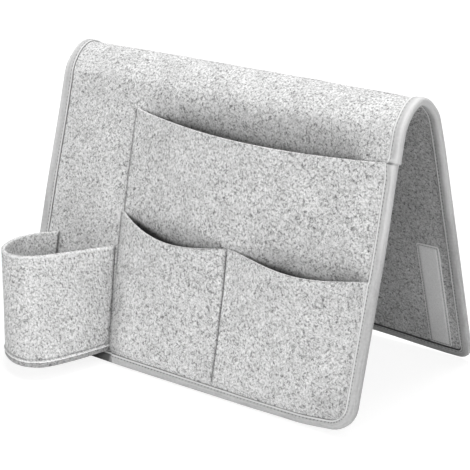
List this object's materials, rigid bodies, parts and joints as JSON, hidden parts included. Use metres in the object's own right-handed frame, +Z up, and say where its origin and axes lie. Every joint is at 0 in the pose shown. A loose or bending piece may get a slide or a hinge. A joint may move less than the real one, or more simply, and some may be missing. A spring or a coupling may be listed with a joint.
{
  "type": "pocket storage bag",
  "caption": "Felt saddle bag that folds over a rail or armrest, with a wide pocket, stitched phone pockets and a cup holder.",
  "frame": {"origin": "on the surface that the two flaps stand on, at the middle of the outline seen from above", "axes": "+Z up, +X to the right as seen from the pocket side, pocket side towards -Y; the folds run along X"},
  "size_m": [0.32, 0.2418, 0.2342],
  "materials": {
    "felt": "matte marled felt",
    "tape": "smooth woven tape",
    "strip": "hook-and-loop pile",
    "thread": "sewing thread"
  },
  "bodies": {
    "ridge": {"ridge_felt": "felt", "ridge_binding_left": "tape", "ridge_binding_right": "tape", "ridge_thread_outer_left": "thread", "ridge_thread_inner_left": "thread", "ridge_thread_outer_right": "thread", "ridge_thread_inner_right": "thread"},
    "front_flap": {"front_panel_felt": "felt", "front_binding": "tape", "front_binding_thread_upper": "thread", "front_binding_thread_under": "thread", "large_pocket_felt": "felt", "large_pocket_thread": "thread", "phone_pocket_felt": "felt", "phone_pocket_thread": "thread", "divider_thread": "thread", "cup_wall_felt": "felt", "cup_base_felt": "felt", "cup_base_thread": "thread", "hook_strip_left": "strip", "hook_strip_left_thread": "thread", "hook_strip_right": "strip", "hook_strip_right_thread": "thread"},
    "back_flap": {"back_panel_felt": "felt", "back_binding": "tape", "back_binding_thread_upper": "thread", "back_binding_thread_under": "thread", "loop_strip_left": "strip", "loop_strip_left_thread": "thread", "loop_strip_right": "strip", "loop_strip_right_thread": "thread"}
  },
  "joints": [
    {"name": "front_fold", "type": "hinge", "parent": "ridge", "child": "front_flap", "pos_m": [0, 0.0024, 0.21201], "axis": [-1, 0, 0], "range_deg": [-22, 74]},
    {"name": "back_fold", "type": "hinge", "parent": "ridge", "child": "back_flap", "pos_m": [0, 0.05146, 0.21293], "axis": [1, 0, 0], "range_deg": [-22, 72]}
  ]
}
